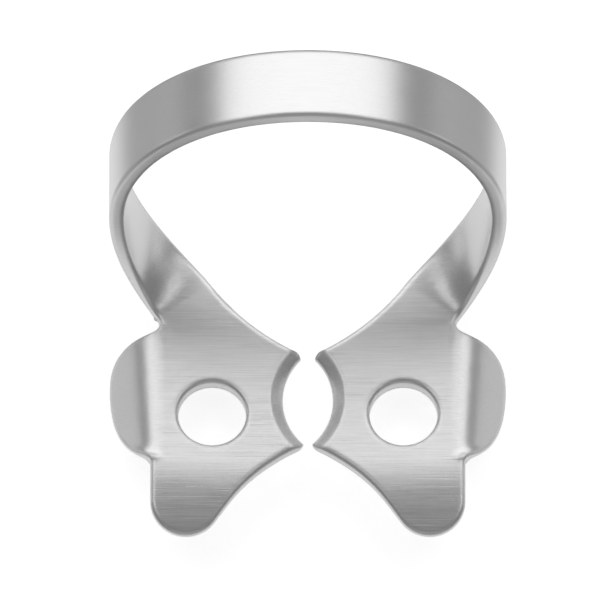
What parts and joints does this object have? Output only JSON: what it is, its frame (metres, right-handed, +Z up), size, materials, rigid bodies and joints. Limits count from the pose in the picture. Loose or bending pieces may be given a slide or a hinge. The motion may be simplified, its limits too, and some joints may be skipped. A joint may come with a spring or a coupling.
{
  "type": "rubber dam clamp",
  "caption": "Winged spring-steel dental dam clamp: jaw plates with forceps holes, tongues and folded wings, joined by an arched bow; it grips a tooth and holds the dam.",
  "frame": {"origin": "middle of the footprint, at the lowest point: the clamp lies on its wings and the roots of its legs", "axes": "+X from the left jaw to the right jaw, +Y from the tongues back to the bow, +Z up"},
  "size_m": [0.0198, 0.0226, 0.0141],
  "materials": {
    "spring_steel": "satin brushed, tumbled edges"
  },
  "bodies": {
    "root": {"clamp": "spring_steel"}
  },
  "joints": []
}
